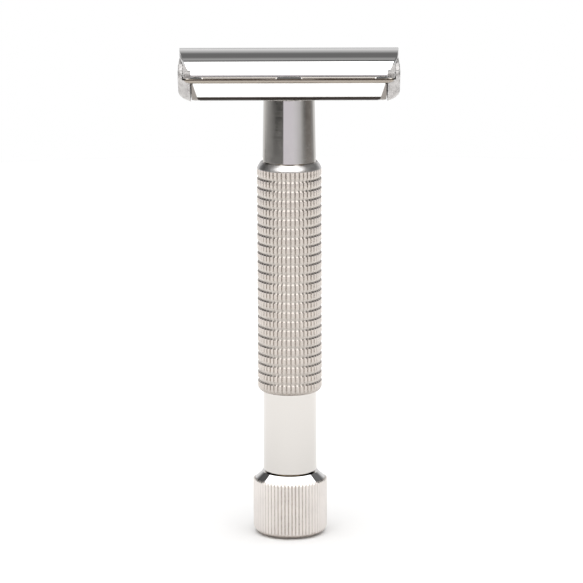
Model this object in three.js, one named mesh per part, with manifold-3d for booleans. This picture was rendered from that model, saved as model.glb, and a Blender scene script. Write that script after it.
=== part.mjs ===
// A twist-to-open double-edge safety razor, standing on its knob with its doors closed.
// Millimetres. +Z runs up the handle, X along the blade's edges, the front door is on the -Y side.
// The head is drawn in the plane of Y and Z, where "out" is the distance from the middle plane.
import * as THREE from "three";
import { mergeVertices } from "three/addons/utils/BufferGeometryUtils.js";
import Module from "manifold-3d";

const wasm = await Module();
wasm.setup();

// ---------- driving dimensions ----------

// Head
const HEAD_HALF = 22.25; // half the head's length
const HEAD_TOP = 101.5;
const DOOR_RADIUS = 16.8;
const DOOR_SHEET = 1.0;
const DOOR_SEAM = 0.12; // each door's distance from the middle plane
const DOOR_HALF = 22.2; // half length along the seam
const DOOR_TAPER = 0.0212; // the half length loses this times out squared
const LIP_OUT = 10.65; // the doors' clamping lips
const HINGE_OUT = 10.4;
const HINGE_Z = 97.6;
const PIN_RADIUS = 0.35;
const PIN_HOLE_RADIUS = 0.4;

// Blade: 22 mm wide and 0.1 mm thick, bowed over the crossbar
const BLADE_TOP = 98.9;
const BLADE_BOW = 32;
const BLADE_SHEET = 0.1;
const BLADE_HALF_WIDTH = 11;
const BLADE_HALF_LENGTH = 21.45;
const EDGE_HALF_LENGTH = 18.65;
const TAB_HALF_WIDTH = 6.5;

// Guard tray and its two safety bars
const TRAY_BOTTOM = 92.15;
const TRAY_FLOOR = 93.25;
const BAR_OUT = 11.85;
const BAR_Z = 96.8;
const BAR_RADIUS = 0.65;
const BAR_HALF_LENGTH = 20.4;
const SCALLOP_Z = 97.1;
const SCALLOP_FROM = 2.3;
const SCALLOP_TO = 17.4;

// Handle
const TUBE_RADIUS = 5.54;
const TUBE_BOTTOM = 13.3;
const TUBE_TOP = 91.55;
const NECK_BOTTOM = 78.5;
const NECK_BOTTOM_RADIUS = 5.44;
const NECK_TOP_RADIUS = 5.19;
const BEARING_RADIUS = 3.85;
const BEARING_TOP = 23.2;
const TUBE_BORE = 4.6;
const NECK_BORE = 4.0;
const SLEEVE_RADIUS = 6.63;
const SLEEVE_BORE = 5.62;
const SLEEVE_BOTTOM = 30.4;
const SLEEVE_TOP = 78.3;

// Knob
const KNOB_RADIUS = 7.65;
const KNOB_TOP = 13.1;
const KNOB_CHAMFER_Z = 11.4;
const KNOB_TOP_RADIUS = 5.7;
const KNOB_CAVITY = 4.75;
const PLUG_RADIUS = 4.95;

// Spindle
const SPINDLE_RADIUS = 1.6;
const THREAD_RADIUS = 1.95;
const SPINDLE_BOTTOM = 9;
const CROSSBAR_BOTTOM = 97.3;

// End caps
const CAP_SHEET_INNER = 21.35; // their upright plates start here
const CAP_WRAP_INNER = 19.75; // and their lower wraps here
const CAP_TOP = 99.6;

// ---------- helpers ----------

const V = (a, b) => new THREE.Vector2(a, b);

// Points on a circle from angle a0 to a1 in degrees.
function arc(cx, cy, r, a0, a1, steps) {
  return Array.from({ length: steps + 1 }, (_, i) => {
    const a = THREE.MathUtils.degToRad(a0 + ((a1 - a0) * i) / steps);
    return V(cx + r * Math.cos(a), cy + r * Math.sin(a));
  });
}

const circle = (cx, cy, r, steps) => arc(cx, cy, r, 0, 360 - 360 / steps, steps - 1);

const mirrored = (points) => points.map((p) => V(-p.x, p.y)).reverse();

// A geometry as a manifold solid, and back.
function solid(geometry) {
  const bare = geometry.clone();
  bare.deleteAttribute("normal");
  bare.deleteAttribute("uv");
  const merged = mergeVertices(bare, 1e-4);
  const mesh = new wasm.Mesh({
    numProp: 3,
    vertProperties: merged.attributes.position.array,
    triVerts: new Uint32Array(merged.index.array),
  });
  return new wasm.Manifold(mesh);
}

function geometryOf(manifold) {
  const mesh = manifold.getMesh();
  const geometry = new THREE.BufferGeometry();
  geometry.setAttribute("position", new THREE.BufferAttribute(new Float32Array(mesh.vertProperties), 3));
  geometry.setIndex(new THREE.BufferAttribute(new Uint32Array(mesh.triVerts), 1));
  geometry.computeVertexNormals();
  return geometry;
}

// An outline of (x, y), extruded from z0 to z1.
function extrudeZ(outline, z0, z1) {
  const shape = new THREE.Shape(outline);
  const geometry = new THREE.ExtrudeGeometry(shape, { depth: z1 - z0, bevelEnabled: false });
  return solid(geometry.translate(0, 0, z0));
}

// An outline of (y, z), extruded from x0 to x1.
function extrudeX(outline, x0, x1) {
  const shape = new THREE.Shape(outline);
  const geometry = new THREE.ExtrudeGeometry(shape, { depth: x1 - x0, bevelEnabled: false });
  const turn = new THREE.Matrix4().set(0, 0, 1, x0, 1, 0, 0, 0, 0, 1, 0, 0, 0, 0, 0, 1);
  return solid(geometry.applyMatrix4(turn));
}

// An outline of (x, z), extruded to the same distance either side of the middle plane.
function extrudeY(outline, half) {
  const shape = new THREE.Shape(outline);
  const geometry = new THREE.ExtrudeGeometry(shape, { depth: 2 * half, bevelEnabled: false });
  return solid(geometry.translate(0, 0, -half).rotateX(Math.PI / 2));
}

// Cutters reach right through the head.
const CUT_BOTTOM = 90;
const CUT_TOP = 105;
const CUT_HALF = 15;
const cutterZ = (outline) => extrudeZ(outline, CUT_BOTTOM, CUT_TOP);
const cutterY = (outline) => extrudeY(outline, CUT_HALF);

const box = (x0, x1, y0, y1, z0, z1) => extrudeZ([V(x0, y0), V(x1, y0), V(x1, y1), V(x0, y1)], z0, z1);

// A turned piece: its profile of (radius, z) goes up the outside and down the inside.
function turned(profile, steps = 40) {
  return new THREE.LatheGeometry(profile, steps).rotateX(Math.PI / 2);
}

const ring = (inner, outer, z0, z1, steps) =>
  turned([V(inner, z0), V(outer, z0), V(outer, z1), V(inner, z1), V(inner, z0)], steps);

// A turned bar along X, from a profile of (radius, x).
const turnedX = (profile, steps) => turned(profile, steps).rotateY(Math.PI / 2);

const chrome = { color: 0xd9d8d6, roughness: 0.12, metalness: 1 };
const satin = { color: 0xcfcac4, roughness: 0.3, metalness: 1 };
const brass = { color: 0xb89a5c, roughness: 0.35, metalness: 1 };
const steel = { color: 0xbfc1c4, roughness: 0.25, metalness: 1 };

const razor = new THREE.Group();

function add(name, shape, finish) {
  const geometry = shape.isBufferGeometry ? shape : geometryOf(shape);
  const mesh = new THREE.Mesh(geometry, new THREE.MeshStandardMaterial(finish));
  mesh.name = name;
  razor.add(mesh);
  return mesh;
}

// Turns a copy of a head piece to the opposite side.
function addOpposite(name, geometry, finish) {
  add(name, geometry, finish).rotation.z = Math.PI;
}

// ---------- shared curves of the head ----------

const headCentreZ = HEAD_TOP - DOOR_RADIUS;
const bladeCentreZ = BLADE_TOP - BLADE_BOW;
const onArc = (out, radius, centreZ) => V(out, centreZ + Math.sqrt(radius * radius - out * out));

// Points of a circle about the middle plane, between two distances out.
function crown(radius, centreZ, from, to, steps) {
  const out = (i) => from + ((to - from) * i) / steps;
  return Array.from({ length: steps + 1 }, (_, i) => onArc(out(i), radius, centreZ));
}

// ---------- doors ----------

const LIP_BEAD = 0.27;
const UNDERSIDE_GAP = 0.14; // from the doors' pressing faces to the blade
const FLANGE_FROM = 21.0; // the turned-down flanges at the doors' ends

function doorShell() {
  const inner = DOOR_RADIUS - DOOR_SHEET;
  const press = BLADE_BOW + UNDERSIDE_GAP;
  const footOut = HINGE_OUT * (1 - LIP_BEAD / BLADE_BOW) - 0.02;
  const profile = [
    ...crown(inner, headCentreZ, DOOR_SEAM, 8.8, 9),
    ...crown(press, bladeCentreZ, 9.0, footOut, 3),
    ...arc(HINGE_OUT, HINGE_Z, LIP_BEAD, -90, 20, 4),
    ...crown(DOOR_RADIUS, headCentreZ, LIP_OUT, DOOR_SEAM, 14),
  ];
  const end = Array.from({ length: 9 }, (_, i) => {
    const out = (11 * i) / 8;
    return V(DOOR_HALF - DOOR_TAPER * out * out, out);
  });
  const plan = [...end, ...mirrored(end)];
  const flange = [
    V(DOOR_SEAM, CAP_TOP + 0.15),
    V(4.9, CAP_TOP + 0.15),
    ...crown(inner + 0.2, headCentreZ, 4.9, DOOR_SEAM, 6),
  ];
  return extrudeX(profile, -DOOR_HALF - 1, DOOR_HALF + 1)
    .add(extrudeX(flange, FLANGE_FROM, DOOR_HALF + 1))
    .add(extrudeX(flange, -DOOR_HALF - 1, -FLANGE_FROM))
    .intersect(cutterZ(plan));
}

// The ear that carries a door's hinge, between the door's end and the end cap.
const EAR_FROM = 19.65;
const EAR_TO = 21.15;
const EAR_RADIUS = 0.8;

function doorEar() {
  const outline = [
    V(8.2, 98.35),
    onArc(8.2, DOOR_RADIUS, headCentreZ),
    onArc(9.2, DOOR_RADIUS, headCentreZ),
    ...arc(HINGE_OUT, HINGE_Z, EAR_RADIUS, 112, -112, 12),
  ];
  const hole = extrudeX(circle(HINGE_OUT, HINGE_Z, PIN_HOLE_RADIUS, 16), EAR_FROM + 0.1, EAR_TO + 1);
  return { block: extrudeX(outline, EAR_FROM, EAR_TO), hole };
}

function door() {
  const { block, hole } = doorEar();
  const flip = new THREE.Matrix4().makeScale(-1, 1, 1).elements;
  return doorShell()
    .add(block)
    .add(block.transform(flip))
    .subtract(hole)
    .subtract(hole.transform(flip));
}

const doorGeometry = geometryOf(door());
add("rear_door", doorGeometry, chrome);
addOpposite("front_door", doorGeometry, chrome);

// ---------- end caps, with the hinge pins they carry ----------

const LOBE_RADIUS = 1.0;
const WRAP_OUT = 10.85;
const WRAP_LOW_OUT = 10.3;
const WRAP_TOP = 96.2;
const WRAP_BOTTOM = 91.98;
const WRAP_HEEL = 2.3; // radius between its long faces and its underside
const BEND_LENGTH = 3.3; // the quarter ellipse at each end of the underside
const BEND_DEPTH = 2.2;
const BEND_TOP = 94.15;
const TENON_HALF = 1.6;
const TENON_GAP = 0.12;

function endCapPlate() {
  const half = [
    V(WRAP_OUT, WRAP_TOP - 0.2),
    ...arc(HINGE_OUT, HINGE_Z, LOBE_RADIUS, -30, 108, 9),
    ...crown(DOOR_RADIUS - 0.1, headCentreZ, 9.3, 6.9, 4),
    ...crown(DOOR_RADIUS - DOOR_SHEET - 0.35, headCentreZ, 6.7, 4.1, 4),
  ];
  const outline = [...half, ...mirrored(half)];
  const corner = 0.8;
  const top = CAP_TOP + 0.35;
  const topRound = 0.75;
  const outMost = HINGE_OUT + LOBE_RADIUS;
  const planHalf = arc(HEAD_HALF - corner, outMost - corner, corner, 0, 90, 4);
  const plan = [V(CAP_SHEET_INNER, -outMost), V(CAP_SHEET_INNER, outMost)];
  planHalf.reverse().forEach((p) => plan.push(p));
  arc(HEAD_HALF - corner, -outMost + corner, corner, 0, -90, 4).forEach((p) => plan.push(p));
  const silhouette = [
    V(CAP_SHEET_INNER, WRAP_TOP - 2.2),
    V(HEAD_HALF, WRAP_TOP - 2.2),
    ...arc(HEAD_HALF - topRound, top - topRound, topRound, 0, 90, 4),
    V(CAP_SHEET_INNER, top),
  ];
  return extrudeX(outline, CAP_SHEET_INNER, HEAD_HALF)
    .intersect(cutterZ(plan))
    .intersect(cutterY(silhouette));
}

function endCapWrap() {
  const heel = arc(WRAP_LOW_OUT - WRAP_HEEL, WRAP_BOTTOM + WRAP_HEEL, WRAP_HEEL, -90, -14, 6);
  const half = [...heel, V(WRAP_OUT, WRAP_TOP + 0.15)];
  const outline = [...half, ...mirrored(half)];
  const corner = 2.4;
  const round = arc(HEAD_HALF - corner, WRAP_OUT - corner, corner, 90, 0, 8);
  const planHalf = [V(CAP_WRAP_INNER, WRAP_OUT), ...round];
  const plan = [...planHalf, ...planHalf.map((p) => V(p.x, -p.y)).reverse()];
  const bend = Array.from({ length: 9 }, (_, i) => {
    const a = THREE.MathUtils.degToRad(-90 + (90 * i) / 8);
    return V(HEAD_HALF - BEND_LENGTH + BEND_LENGTH * Math.cos(a), BEND_TOP + BEND_DEPTH * Math.sin(a));
  });
  const silhouette = [
    V(HEAD_HALF - BEND_LENGTH, WRAP_TOP - 0.55),
    ...bend,
    V(HEAD_HALF, WRAP_TOP + 0.1),
    V(CAP_SHEET_INNER, WRAP_TOP + 0.1),
  ];
  return extrudeX(outline, CAP_WRAP_INNER - 1, HEAD_HALF + 1)
    .intersect(cutterZ(plan))
    .intersect(cutterY(silhouette));
}

function endCap() {
  const pocketEnd = BLADE_HALF_LENGTH + 0.2;
  const bladePocket = box(CAP_SHEET_INNER - 1, pocketEnd, -7, 7, WRAP_TOP + 0.6, CUT_TOP);
  const tenonSlot = box(
    CAP_SHEET_INNER - 1,
    HEAD_HALF + 1,
    -TENON_HALF - TENON_GAP,
    TENON_HALF + TENON_GAP,
    CROSSBAR_BOTTOM + 0.2 - TENON_GAP,
    CROSSBAR_BOTTOM + 1.1 + TENON_GAP,
  );
  let cap = endCapPlate().add(endCapWrap()).subtract(bladePocket).subtract(tenonSlot);
  for (const out of [HINGE_OUT, -HINGE_OUT]) {
    const hole = circle(out, HINGE_Z, PIN_HOLE_RADIUS, 16);
    cap = cap.subtract(extrudeX(hole, CAP_SHEET_INNER - 1, HEAD_HALF + 1));
  }
  return cap;
}

const endCapGeometry = geometryOf(endCap());
add("right_end_cap", endCapGeometry, chrome);
addOpposite("left_end_cap", endCapGeometry, chrome);

const pinSpan = V(EAR_FROM + 0.2, HEAD_HALF - 0.05);
const pinProfile = [V(0, pinSpan.x), V(PIN_RADIUS, pinSpan.x), V(PIN_RADIUS, pinSpan.y), V(0, pinSpan.y)];
const pinGeometry = turnedX(pinProfile, 16);
for (const [end, side] of [["left", -1], ["right", 1]])
  for (const [door, out] of [["front", -HINGE_OUT], ["rear", HINGE_OUT]]) {
    const pin = add(`${door}_${end}_hinge_pin`, pinGeometry, steel);
    pin.position.set(0, out, HINGE_Z);
    pin.rotation.z = side < 0 ? Math.PI : 0;
  }

// ---------- crossbar, spindle and their nut ----------

const CROSSBAR_HALF_WIDTH = 6.2;
const CROSSBAR_HALF_LENGTH = 21.2;
const RIB_TOP = 99.6;
const RIB_HALF_WIDTH = 0.45;
const NUT_RADIUS = 1.5;
const STUD_RADIUS = 0.9;
const STUD_TOP = 99.55;
const COLLAR_RADIUS = 2.6; // the spindle's collar under the crossbar
const COLLAR_BOTTOM = 95.9;
const THREAD_TOP = 31;

function crossbar() {
  const half = CROSSBAR_HALF_WIDTH;
  const top = crown(BLADE_BOW - BLADE_SHEET - 0.06, bladeCentreZ, half, -half, 10);
  const outline = [V(-half, CROSSBAR_BOTTOM), V(half, CROSSBAR_BOTTOM), ...top];
  const tenonZ = [CROSSBAR_BOTTOM + 0.2, CROSSBAR_BOTTOM + 1.1];
  let bar = extrudeX(outline, -CROSSBAR_HALF_LENGTH, CROSSBAR_HALF_LENGTH);
  const tenonEnd = HEAD_HALF - 0.05;
  bar = bar.add(box(-tenonEnd, tenonEnd, -TENON_HALF, TENON_HALF, ...tenonZ));
  for (const side of [-1, 1]) {
    const [near, far] = side < 0 ? [-14.5, -4] : [4, 14.5];
    bar = bar.add(box(near, far, -RIB_HALF_WIDTH, RIB_HALF_WIDTH, CROSSBAR_BOTTOM + 0.5, RIB_TOP));
  }
  return bar.subtract(cutterZ(circle(0, 0, STUD_RADIUS + 0.08, 24)));
}

add("crossbar", crossbar(), steel);

add(
  "spindle",
  turned([
    V(0, SPINDLE_BOTTOM),
    V(THREAD_RADIUS - 0.4, SPINDLE_BOTTOM),
    V(THREAD_RADIUS, SPINDLE_BOTTOM + 0.4),
    V(THREAD_RADIUS, THREAD_TOP),
    V(SPINDLE_RADIUS, THREAD_TOP + 0.4),
    V(SPINDLE_RADIUS, COLLAR_BOTTOM),
    V(COLLAR_RADIUS, COLLAR_BOTTOM),
    V(COLLAR_RADIUS, CROSSBAR_BOTTOM - 0.05),
    V(STUD_RADIUS, CROSSBAR_BOTTOM - 0.05),
    V(STUD_RADIUS, STUD_TOP),
    V(0, STUD_TOP),
  ], 28),
  steel,
);

add("spindle_nut", ring(STUD_RADIUS + 0.06, NUT_RADIUS, BLADE_TOP - 0.1, STUD_TOP - 0.1, 24), brass);

// ---------- blade ----------

function blade() {
  const steps = 20;
  const widest = THREE.MathUtils.radToDeg(BLADE_HALF_WIDTH / BLADE_BOW);
  const sheet = [
    ...arc(0, bladeCentreZ, BLADE_BOW, 90 + widest, 90 - widest, steps),
    ...arc(0, bladeCentreZ, BLADE_BOW - BLADE_SHEET, 90 - widest, 90 + widest, steps),
  ];
  const quarter = [
    V(BLADE_HALF_LENGTH, TAB_HALF_WIDTH - 1),
    V(BLADE_HALF_LENGTH - 1, TAB_HALF_WIDTH),
    V(EDGE_HALF_LENGTH + 0.7, TAB_HALF_WIDTH),
    V(EDGE_HALF_LENGTH, TAB_HALF_WIDTH + 0.7),
    V(EDGE_HALF_LENGTH, 12),
  ];
  const upper = [...quarter, ...mirrored(quarter)];
  const plan = [...upper, ...upper.map((p) => V(p.x, -p.y)).reverse()];
  const slotHalf = 17.2;
  let cut = box(-slotHalf, slotHalf, -0.7, 0.7, CUT_BOTTOM, CUT_TOP);
  for (const [x, radius] of [[0, 1.85], [-11.2, 1.4], [11.2, 1.4]])
    cut = cut.add(cutterZ(circle(x, 0, radius, 24)));
  for (const x of [-slotHalf, slotHalf])
    cut = cut.add(box(x - 0.6, x + 0.6, -1.6, 1.6, CUT_BOTTOM, CUT_TOP));
  return extrudeX(sheet, -BLADE_HALF_LENGTH, BLADE_HALF_LENGTH)
    .intersect(cutterZ(plan))
    .subtract(cut);
}

add("razor_blade", blade(), { color: 0xd4d6d8, roughness: 0.2, metalness: 1 });

// ---------- guard tray ----------

const FACE_TILT = 27; // the tray's long faces lean out by this from upright
const HEEL_RADIUS = 1.74;
const HEEL_OUT = 8.3;
const TRAY_HOLE = 4.0;

function trayChannel() {
  const half = [
    V(HEEL_OUT, TRAY_BOTTOM),
    ...arc(HEEL_OUT, TRAY_BOTTOM + HEEL_RADIUS, HEEL_RADIUS, -80, -FACE_TILT, 6),
    V(11.42, 96.15),
    V(11.7, BAR_Z),
    V(11.25, 96.6),
    V(10.75, 96.45),
    ...crown(BLADE_BOW - BLADE_SHEET - 0.08, bladeCentreZ, 10.35, 9.2, 2),
    V(9.0, 97.0),
    V(8.5, 94.4),
    V(7.6, TRAY_FLOOR),
  ];
  const outline = [...half, ...mirrored(half)];
  const endHalf = [V(17.6, 92), V(18.3, 92.75), V(19.27, 96.1), V(19.4, 98)];
  return extrudeX(outline, -20, 20).intersect(cutterY([...endHalf, ...mirrored(endHalf)]));
}

// An upright wall closes each end of the channel, behind the end cap.
function trayEndWalls() {
  const half = [
    V(17.2, TRAY_FLOOR - 0.6),
    V(19.5, 93.6),
    V(19.5, 96.3),
    V(18.4, 96.3),
    V(17.2, TRAY_FLOOR),
  ];
  const wall = extrudeY(half, 9.1);
  return wall.add(wall.transform(new THREE.Matrix4().makeScale(-1, 1, 1).elements));
}

// A round bar with pointed ends, cut shallower between the lands.
function safetyBar() {
  const tip = 1.5;
  const taper = Array.from({ length: 6 }, (_, i) => {
    const t = i / 5;
    return V(0.1 + (BAR_RADIUS - 0.1) * Math.sqrt(1 - t * t), BAR_HALF_LENGTH - tip + tip * t);
  });
  const start = taper.map((p) => V(p.x, -p.y)).reverse();
  const profile = [V(0, -BAR_HALF_LENGTH), ...start, ...taper, V(0, BAR_HALF_LENGTH)];
  let bar = solid(turnedX(profile, 20).translate(0, BAR_OUT, BAR_Z));
  for (const side of [-1, 1]) {
    const scallop = [
      V(side * (SCALLOP_FROM + 0.3), SCALLOP_Z),
      V(side * (SCALLOP_TO - 0.3), SCALLOP_Z),
      V(side * SCALLOP_TO, SCALLOP_Z + 1),
      V(side * SCALLOP_FROM, SCALLOP_Z + 1),
    ];
    bar = bar.subtract(cutterY(scallop));
  }
  return bar;
}

const halfTurn = new THREE.Matrix4().makeRotationZ(Math.PI).elements;
const bar = safetyBar();
const tray = trayChannel()
  .add(trayEndWalls())
  .add(bar)
  .add(bar.transform(halfTurn))
  .subtract(extrudeZ(circle(0, 0, TRAY_HOLE, 32), CUT_BOTTOM, TRAY_FLOOR + 0.75));
add("guard_tray", tray, chrome);

add("tray_washer", ring(TRAY_HOLE, 5.45, TUBE_TOP + 0.08, TRAY_BOTTOM - 0.08, 40), chrome);

const FERRULE_BORE = SPINDLE_RADIUS + 0.1;
const FERRULE_BOTTOM = 84;
const FERRULE_FLANGE = 5.2;
add(
  "tray_ferrule",
  turned([
    V(FERRULE_BORE, FERRULE_BOTTOM),
    V(NECK_BORE - 0.1, FERRULE_BOTTOM),
    V(NECK_BORE - 0.1, TRAY_FLOOR + 0.1),
    V(FERRULE_FLANGE, TRAY_FLOOR + 0.1),
    V(FERRULE_FLANGE, TRAY_FLOOR + 0.9),
    V(FERRULE_BORE, TRAY_FLOOR + 0.9),
    V(FERRULE_BORE, FERRULE_BOTTOM),
  ], 32),
  brass,
);

// ---------- handle ----------

add(
  "handle_tube",
  turned([
    V(BEARING_RADIUS, TUBE_BOTTOM),
    V(TUBE_RADIUS - 0.25, TUBE_BOTTOM),
    V(TUBE_RADIUS, TUBE_BOTTOM + 0.25),
    V(TUBE_RADIUS, NECK_BOTTOM - 0.2),
    V(NECK_BOTTOM_RADIUS, NECK_BOTTOM),
    V(NECK_TOP_RADIUS, 90.3),
    V(NECK_TOP_RADIUS, TUBE_TOP),
    V(NECK_BORE, TUBE_TOP),
    V(NECK_BORE, 82.5),
    V(TUBE_BORE, 81.9),
    V(TUBE_BORE, BEARING_TOP),
    V(BEARING_RADIUS, BEARING_TOP),
    V(BEARING_RADIUS, TUBE_BOTTOM),
  ], 48),
  satin,
);

add(
  "grip_sleeve",
  turned([
    V(SLEEVE_BORE, SLEEVE_BOTTOM),
    V(5.85, SLEEVE_BOTTOM),
    V(6.35, SLEEVE_BOTTOM + 0.35),
    V(SLEEVE_RADIUS, SLEEVE_BOTTOM + 0.95),
    V(SLEEVE_RADIUS, SLEEVE_TOP - 1.4),
    V(6.35, SLEEVE_TOP - 0.55),
    V(5.85, SLEEVE_TOP),
    V(SLEEVE_BORE, SLEEVE_TOP),
    V(SLEEVE_BORE, SLEEVE_BOTTOM),
  ], 48),
  satin,
);

// ---------- knob and drive ----------

const CAVITY_BOTTOM = 1.6;
const CAVITY_TOP = 11.9;

add(
  "twist_knob",
  turned([
    V(PLUG_RADIUS + 0.05, 0),
    V(KNOB_TOP_RADIUS, 0),
    V(6.75, 0.3),
    V(7.4, 0.85),
    V(KNOB_RADIUS, 1.45),
    V(KNOB_RADIUS, KNOB_CHAMFER_Z),
    V(KNOB_TOP_RADIUS, KNOB_TOP),
    V(BEARING_RADIUS + 0.1, KNOB_TOP),
    V(BEARING_RADIUS + 0.1, CAVITY_TOP),
    V(KNOB_CAVITY, CAVITY_TOP),
    V(KNOB_CAVITY, CAVITY_BOTTOM),
    V(PLUG_RADIUS + 0.05, CAVITY_BOTTOM),
    V(PLUG_RADIUS + 0.05, 0),
  ], 56),
  satin,
);

const plugTop = CAVITY_BOTTOM - 0.1;
const plug = turned([V(0, 0), V(PLUG_RADIUS, 0), V(PLUG_RADIUS, plugTop), V(0, plugTop)], 40);
add("knob_end_plug", plug, chrome);

const NUT_NECK = BEARING_RADIUS - 0.1;
const NUT_BORE = THREAD_RADIUS + 0.1;
const NUT_BOTTOM = 7;
const NUT_TOP = 27;
const NUT_HEAD_RADIUS = 4.6;
const GROOVE_FROM = 24.7;
const GROOVE_TO = 25.5;
const GROOVE_RADIUS = 3.1;
add(
  "drive_nut",
  turned([
    V(NUT_BORE, NUT_BOTTOM),
    V(NUT_HEAD_RADIUS, NUT_BOTTOM),
    V(NUT_HEAD_RADIUS, CAVITY_TOP - 0.1),
    V(NUT_NECK, CAVITY_TOP - 0.1),
    V(NUT_NECK, GROOVE_FROM),
    V(GROOVE_RADIUS, GROOVE_FROM),
    V(GROOVE_RADIUS, GROOVE_TO),
    V(NUT_NECK, GROOVE_TO),
    V(NUT_NECK, NUT_TOP),
    V(NUT_BORE, NUT_TOP),
    V(NUT_BORE, NUT_BOTTOM),
  ], 32),
  brass,
);

// A dished spring washer and a flat one carry the knob's pull against the tube's seat.
const WASHER_INNER = NUT_NECK + 0.05;
const WASHER_OUTER = TUBE_BORE - 0.1;
add(
  "spring_washer",
  turned([
    V(WASHER_INNER, BEARING_TOP + 0.4),
    V(WASHER_OUTER, BEARING_TOP + 0.1),
    V(WASHER_OUTER, BEARING_TOP + 0.4),
    V(WASHER_INNER, BEARING_TOP + 0.7),
    V(WASHER_INNER, BEARING_TOP + 0.4),
  ], 32),
  steel,
);
add("thrust_washer", ring(WASHER_INNER, WASHER_OUTER, BEARING_TOP + 0.85, BEARING_TOP + 1.35, 32), brass);

function retainingRing() {
  const gap = 35;
  const outline = [
    ...arc(0, 0, WASHER_OUTER, gap, 360 - gap, 28),
    ...arc(0, 0, GROOVE_RADIUS + 0.1, 360 - gap, gap, 28),
  ];
  return extrudeZ(outline, GROOVE_FROM + 0.05, GROOVE_TO - 0.05);
}

add("retaining_ring", retainingRing(), steel);

export default razor;
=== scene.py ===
"""The looks of a twist-to-open double-edge safety razor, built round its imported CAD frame.

Outlines are in millimetres and become metres as each mesh is made. +Z runs up the handle, X along
the blade's edges, and the front is on the -Y side. "Out" is the distance from the head's middle plane.
"""

import math

import bmesh
import bpy
import numpy as np
from mathutils import Matrix, Vector


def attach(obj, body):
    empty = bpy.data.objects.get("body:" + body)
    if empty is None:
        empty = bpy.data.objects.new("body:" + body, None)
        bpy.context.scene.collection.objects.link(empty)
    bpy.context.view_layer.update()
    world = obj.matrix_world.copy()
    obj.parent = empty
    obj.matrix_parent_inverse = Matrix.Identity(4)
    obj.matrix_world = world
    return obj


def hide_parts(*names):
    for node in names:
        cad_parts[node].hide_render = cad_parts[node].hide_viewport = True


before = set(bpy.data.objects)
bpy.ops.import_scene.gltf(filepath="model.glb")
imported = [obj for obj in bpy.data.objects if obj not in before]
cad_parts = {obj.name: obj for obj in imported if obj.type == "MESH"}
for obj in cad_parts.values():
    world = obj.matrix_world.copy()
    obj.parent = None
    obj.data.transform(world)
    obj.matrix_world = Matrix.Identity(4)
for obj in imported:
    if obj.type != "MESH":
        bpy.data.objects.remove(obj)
scene = bpy.context.scene
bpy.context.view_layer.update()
MM = 0.001

# ---------- camera ----------

CAMERA_PLACE = Vector((0, -0.6703, 0.1969))
CAMERA_PITCH = 12.273  # degrees below level
CAMERA_ROLL = -0.003  # radians

camera = bpy.data.objects.new("camera", bpy.data.cameras.new("camera"))
scene.collection.objects.link(camera)
scene.camera = camera
camera.data.sensor_width = 36
camera.data.lens = 205.8
camera.data.shift_x = 0.0032
camera.data.clip_start = 0.05
camera.data.clip_end = 20
camera.matrix_world = (
    Matrix.Translation(CAMERA_PLACE)
    @ Matrix.Rotation(math.radians(90 - CAMERA_PITCH), 4, "X")
    @ Matrix.Rotation(CAMERA_ROLL, 4, "Z")
)
scene.view_settings.view_transform = "Standard"


# ---------- shader graphs ----------

class Graph:
    """Makes shader nodes and links them, one short call for each. An input may be a socket or a value."""

    def __init__(self, tree):
        self.tree = tree
        tree.nodes.clear()

    def node(self, kind, inputs=None, **settings):
        made = self.tree.nodes.new("ShaderNode" + kind)
        for key, value in settings.items():
            setattr(made, key, value)
        for key, value in (inputs or {}).items():
            if isinstance(value, bpy.types.NodeSocket):
                self.tree.links.new(value, made.inputs[key])
            else:
                made.inputs[key].default_value = value
        return made

    def math(self, operation, a, b=0.0):
        return self.node("Math", {0: a, 1: b}, operation=operation).outputs[0]

    def plus(self, value, share, factor):
        """value + share * factor"""
        return self.math("ADD", value, self.math("MULTIPLY", share, factor))

    def axes(self, vector):
        return self.node("SeparateXYZ", {0: vector}).outputs

    def step(self, value, start, end, low=0.0, high=1.0):
        """Rises smoothly from low to high as value goes from start to end."""
        inputs = {"Value": value, "From Min": start, "From Max": end, "To Min": low, "To Max": high}
        return self.node("MapRange", inputs, interpolation_type="SMOOTHSTEP").outputs["Result"]

    def product(self, *factors):
        result = factors[0]
        for factor in factors[1:]:
            result = self.math("MULTIPLY", result, factor)
        return result

    def mix(self, factor, a, b):
        inputs = {0: factor, 6: a, 7: b}
        return self.node("Mix", inputs, data_type="RGBA").outputs[2]

    def ramp(self, value, stops):
        """A colour for each value from 0 to 1. A stop is (value, colour or grey)."""
        made = self.node("ValToRGB", {0: value})
        elements = made.color_ramp.elements
        while len(elements) < len(stops):
            elements.new(0.5)
        for element, (place, _) in zip(elements, stops):
            element.position = place
        for element, (_, colour) in zip(elements, stops):
            element.color = rgba(colour)
        return made.outputs[0]

    def noise(self, vector, scale, detail=3.0, stretch=(1, 1, 1)):
        if stretch != (1, 1, 1):
            vector = self.node("VectorMath", {0: vector, 1: stretch}, operation="MULTIPLY").outputs[0]
        inputs = {"Vector": vector, "Scale": scale, "Detail": detail}
        return self.node("TexNoise", inputs).outputs[0]


def rgba(colour):
    """A colour or a grey as a socket takes it."""
    if isinstance(colour, (int, float)):
        colour = (colour, colour, colour)
    return (*colour, 1.0)


# ---------- studio ----------

SOFTBOX_GLOW = 2.1
SOFTBOX_SIDE = 1.0  # its edges, each as a distance over its height above the razor
SOFTBOX_FRONT = -1.19
SOFTBOX_BACK = 0.585
SOFTBOX_FADE = 0.02

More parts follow.
